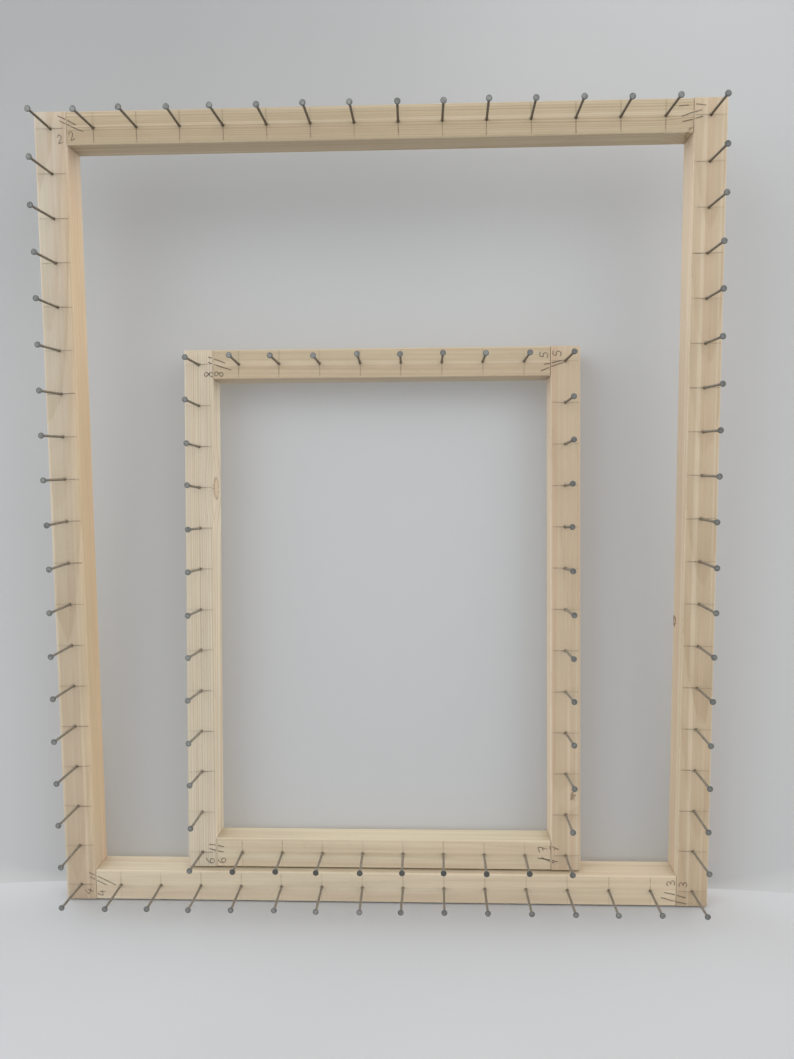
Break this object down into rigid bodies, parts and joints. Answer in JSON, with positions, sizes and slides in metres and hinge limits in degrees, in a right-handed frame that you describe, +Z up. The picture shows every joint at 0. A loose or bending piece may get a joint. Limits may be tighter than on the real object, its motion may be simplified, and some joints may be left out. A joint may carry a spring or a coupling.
{
  "type": "pom pom blanket loom",
  "caption": "Pom pom blanket loom set: a small pine frame standing inside a large one, each with evenly spaced round-head nails along its front face.",
  "frame": {"origin": "middle of the large frame's underside, half way through its thickness", "axes": "+Z up along the large frame's height, +X across it to the right, the nails point toward -Y"},
  "size_m": [0.788, 0.1446, 0.9434],
  "materials": {
    "large_pine": "planed bare pine",
    "small_pine": "planed bare pine",
    "tenon_wood": "bare beech",
    "galvanised_steel": "dull galvanised"
  },
  "bodies": {
    "large_rails": {"large_bottom_rail": "large_pine", "large_top_rail": "large_pine", "large_bottom_left_tenon": "tenon_wood", "large_bottom_right_tenon": "tenon_wood", "large_top_left_tenon": "tenon_wood", "large_top_right_tenon": "tenon_wood"},
    "large_left_side": {"large_left_stile": "large_pine"},
    "large_right_side": {"large_right_stile": "large_pine"},
    "small_rails": {"small_bottom_rail": "small_pine", "small_top_rail": "small_pine", "small_bottom_left_tenon": "tenon_wood", "small_bottom_right_tenon": "tenon_wood", "small_top_left_tenon": "tenon_wood", "small_top_right_tenon": "tenon_wood", "small_bottom_rail_nail_01": "galvanised_steel", "small_bottom_rail_nail_02": "galvanised_steel", "small_bottom_rail_nail_03": "galvanised_steel", "small_bottom_rail_nail_04": "galvanised_steel", "small_bottom_rail_nail_05": "galvanised_steel", "small_bottom_rail_nail_06": "galvanised_steel", "small_bottom_rail_nail_07": "galvanised_steel", "small_bottom_rail_nail_08": "galvanised_steel", "small_top_rail_nail_01": "galvanised_steel", "small_top_rail_nail_02": "galvanised_steel", "small_top_rail_nail_03": "galvanised_steel", "small_top_rail_nail_04": "galvanised_steel", "small_top_rail_nail_05": "galvanised_steel", "small_top_rail_nail_06": "galvanised_steel", "small_top_rail_nail_07": "galvanised_steel", "small_top_rail_nail_08": "galvanised_steel"},
    "small_left_side": {"small_left_stile": "small_pine", "small_left_stile_nail_01": "galvanised_steel", "small_left_stile_nail_02": "galvanised_steel", "small_left_stile_nail_03": "galvanised_steel", "small_left_stile_nail_04": "galvanised_steel", "small_left_stile_nail_05": "galvanised_steel", "small_left_stile_nail_06": "galvanised_steel", "small_left_stile_nail_07": "galvanised_steel", "small_left_stile_nail_08": "galvanised_steel", "small_left_stile_nail_09": "galvanised_steel", "small_left_stile_nail_10": "galvanised_steel", "small_left_stile_nail_11": "galvanised_steel", "small_left_stile_nail_12": "galvanised_steel", "small_left_stile_nail_13": "galvanised_steel"},
    "small_right_side": {"small_right_stile": "small_pine", "small_right_stile_nail_01": "galvanised_steel", "small_right_stile_nail_02": "galvanised_steel", "small_right_stile_nail_03": "galvanised_steel", "small_right_stile_nail_04": "galvanised_steel", "small_right_stile_nail_05": "galvanised_steel", "small_right_stile_nail_06": "galvanised_steel", "small_right_stile_nail_07": "galvanised_steel", "small_right_stile_nail_08": "galvanised_steel", "small_right_stile_nail_09": "galvanised_steel", "small_right_stile_nail_10": "galvanised_steel", "small_right_stile_nail_11": "galvanised_steel", "small_right_stile_nail_12": "galvanised_steel", "small_right_stile_nail_13": "galvanised_steel"}
  },
  "joints": [
    {"name": "large_left_stile_pull", "type": "slide", "parent": "large_rails", "child": "large_left_side", "axis": [-1, 0, 0], "range_m": [0, 0.05]},
    {"name": "large_right_stile_pull", "type": "slide", "parent": "large_rails", "child": "large_right_side", "axis": [1, 0, 0], "range_m": [0, 0.05]},
    {"name": "small_loom_lift_out", "type": "slide", "parent": "large_rails", "child": "small_rails", "axis": [0, -0.866, 0.5], "range_m": [0, 0.35]},
    {"name": "small_left_stile_pull", "type": "slide", "parent": "small_rails", "child": "small_left_side", "axis": [-1, 0, 0], "range_m": [0, 0.05]},
    {"name": "small_right_stile_pull", "type": "slide", "parent": "small_rails", "child": "small_right_side", "axis": [1, 0, 0], "range_m": [0, 0.05]}
  ]
}
